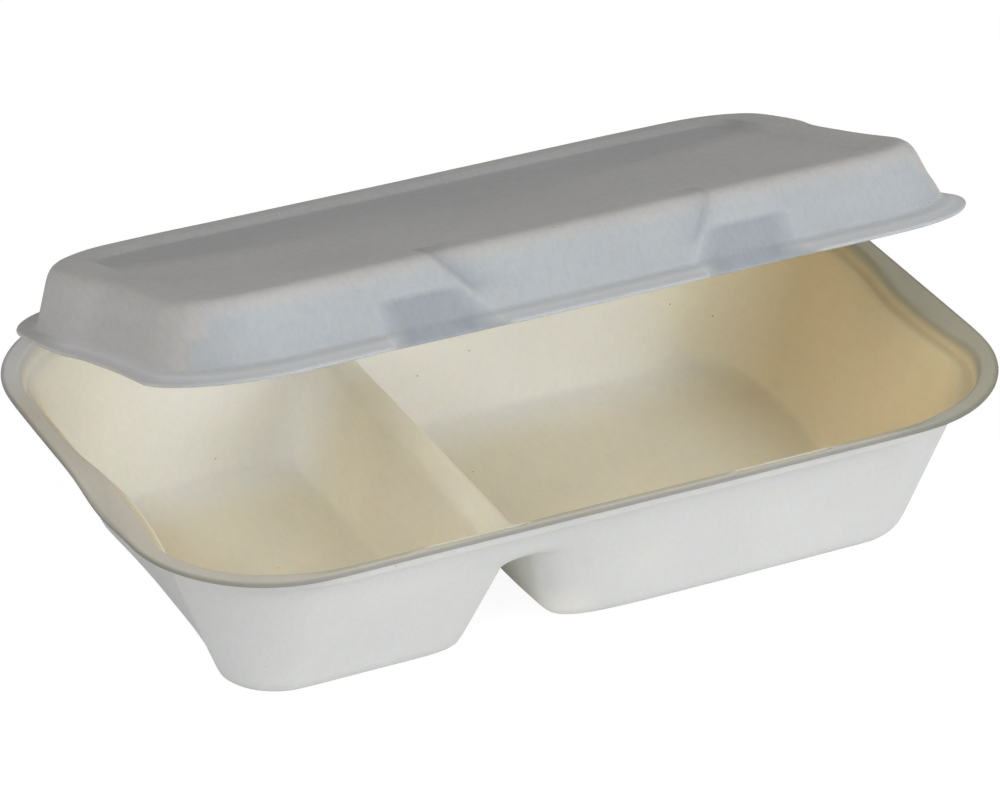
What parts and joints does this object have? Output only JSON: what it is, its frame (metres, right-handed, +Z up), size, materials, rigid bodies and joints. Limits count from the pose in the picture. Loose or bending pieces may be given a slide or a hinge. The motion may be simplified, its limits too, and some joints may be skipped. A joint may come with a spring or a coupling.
{
  "type": "bagasse meal box",
  "caption": "Moulded pulp meal box with a divider that makes a small and a large compartment, a stepped rim, and a domed lid hinged along the back edge.",
  "frame": {"origin": "on the table under the middle of the tray's rim", "axes": "+X along the rim to the right, -Y to the front edge with the tab locks, +Z up"},
  "size_m": [0.25, 0.1605, 0.1104],
  "materials": {
    "tray_pulp": "smooth pressed cream pulp, matt",
    "lid_pulp": "matt pulp with a fine hammered grain"
  },
  "bodies": {
    "tray": {"tray": "tray_pulp"},
    "lid": {"lid": "lid_pulp"}
  },
  "joints": [
    {"name": "lid_hinge", "type": "hinge", "parent": "tray", "child": "lid", "pos_m": [0, 0.08015, 0.0493], "axis": [-1, 0, 0], "range_deg": [-21, 160]}
  ]
}
